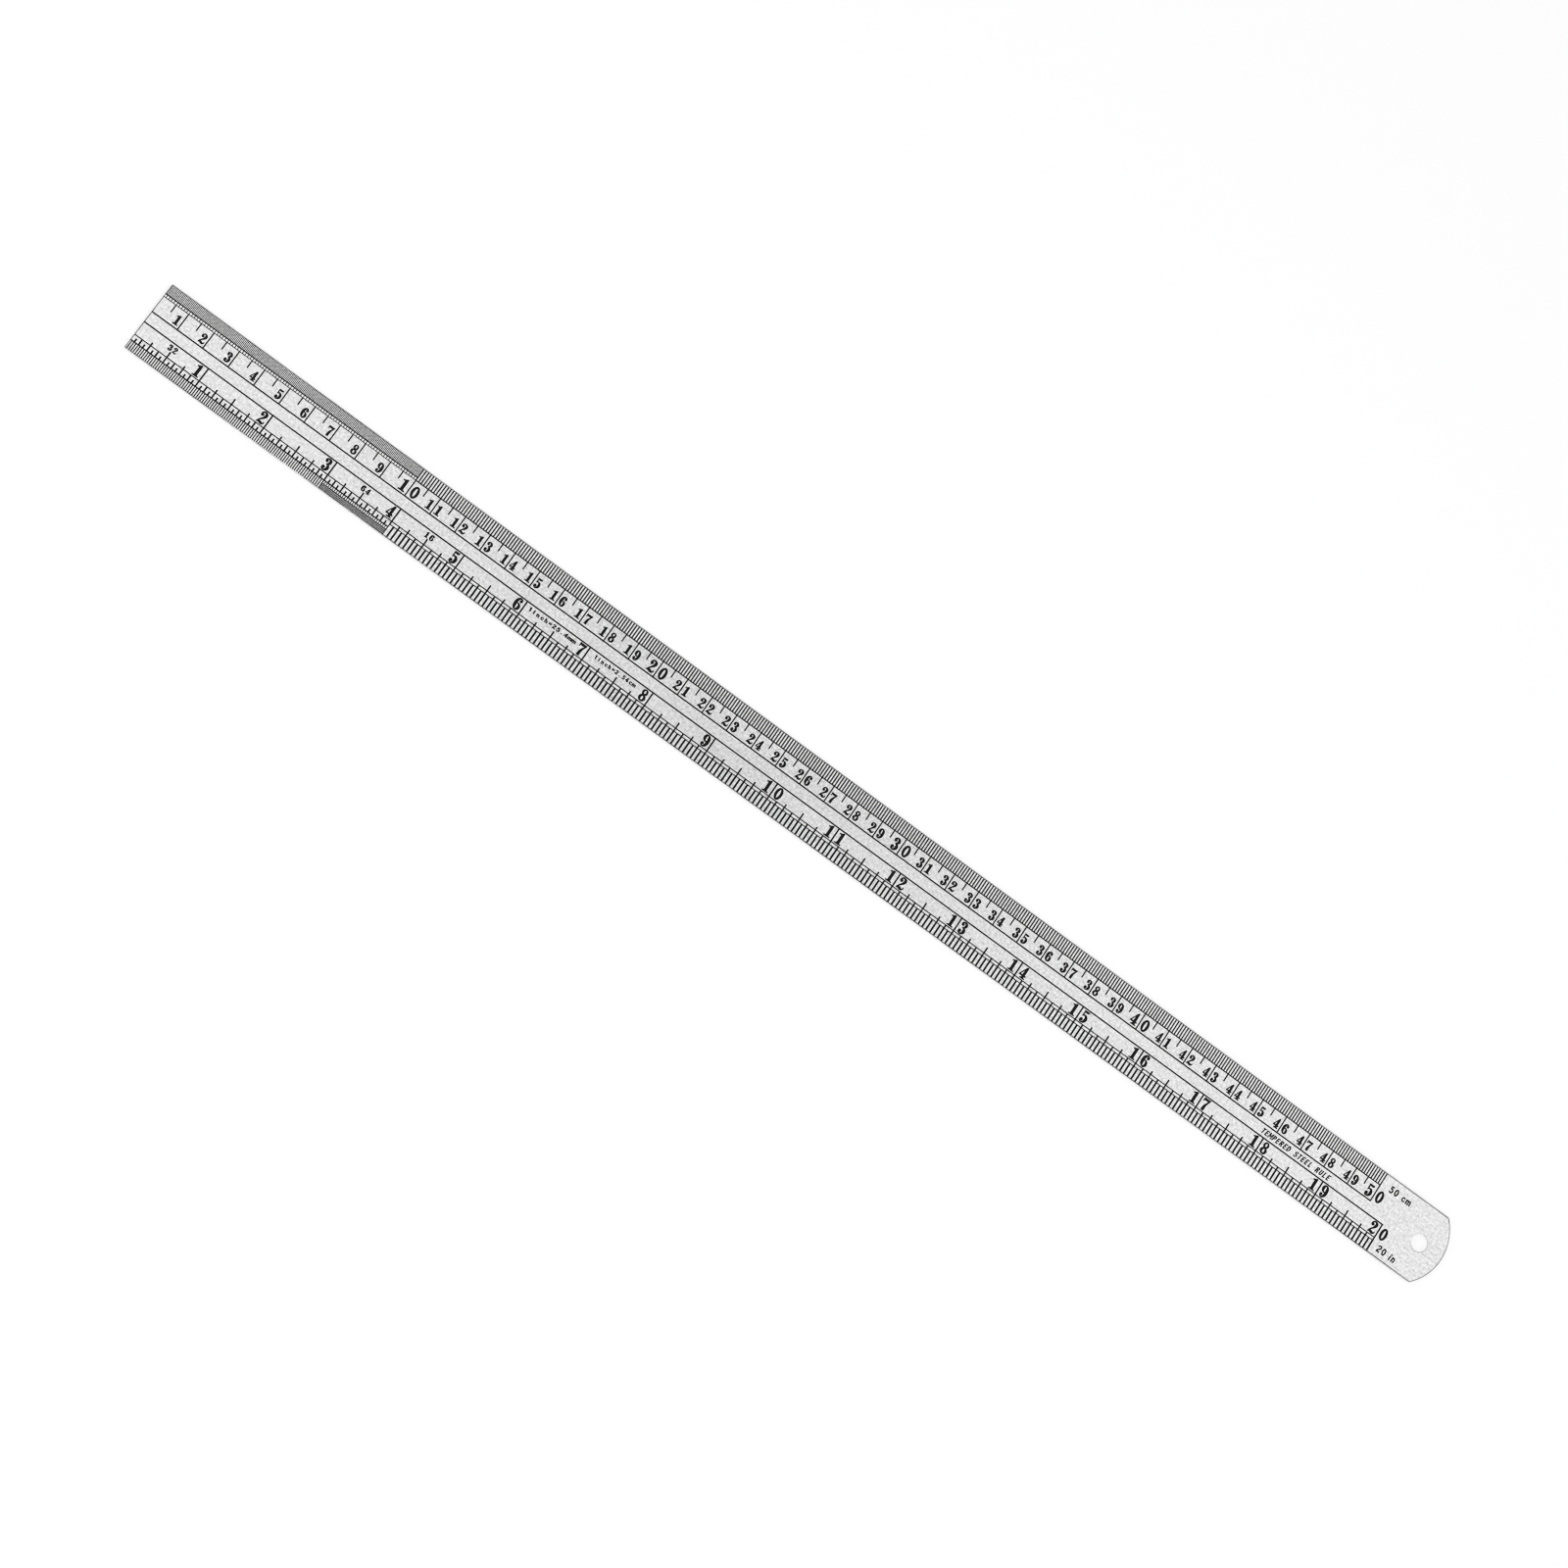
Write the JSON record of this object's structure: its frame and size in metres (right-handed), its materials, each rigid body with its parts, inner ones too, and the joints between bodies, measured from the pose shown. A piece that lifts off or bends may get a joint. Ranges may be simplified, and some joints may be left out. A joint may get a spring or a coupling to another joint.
{
  "type": "steel ruler",
  "caption": "Flat stainless steel ruler with black-enamelled metric and inch scales on one face, a square zero end and a rounded end with a hang hole.",
  "frame": {"origin": "centre of the underside (the plain back face), which is also the bottom centre of the bounding box", "axes": "+X along the blade from the square zero end to the rounded end with the hang hole, +Y across the blade towards the metric edge, +Z out of the graduated face"},
  "size_m": [0.532, 0.026, 0.001],
  "materials": {
    "stainless_blade": "fine satin, lightly brushed along the length, eased bright arrises",
    "black_enamel": "semi-matt baked black enamel, a thin coat standing 0.04 mm on the steel"
  },
  "bodies": {
    "root": {"blade": "stainless_blade", "metric_half_mm_lines": "black_enamel", "metric_mm_lines": "black_enamel", "metric_5mm_lines": "black_enamel", "metric_cm_lines": "black_enamel", "metric_row_lines": "black_enamel", "metric_guide_line": "black_enamel", "inch_64th_lines": "black_enamel", "inch_32nd_lines": "black_enamel", "inch_16th_lines": "black_enamel", "inch_8th_lines": "black_enamel", "inch_quarter_lines": "black_enamel", "inch_half_lines": "black_enamel", "inch_whole_lines": "black_enamel", "inch_row_lines": "black_enamel", "inch_guide_line": "black_enamel", "metric_numerals": "black_enamel", "metric_decade_numerals": "black_enamel", "inch_numerals": "black_enamel", "inch_division_labels": "black_enamel", "metric_unit_label": "black_enamel", "inch_unit_label": "black_enamel", "material_mark": "black_enamel", "conversion_notes": "black_enamel"}
  },
  "joints": []
}
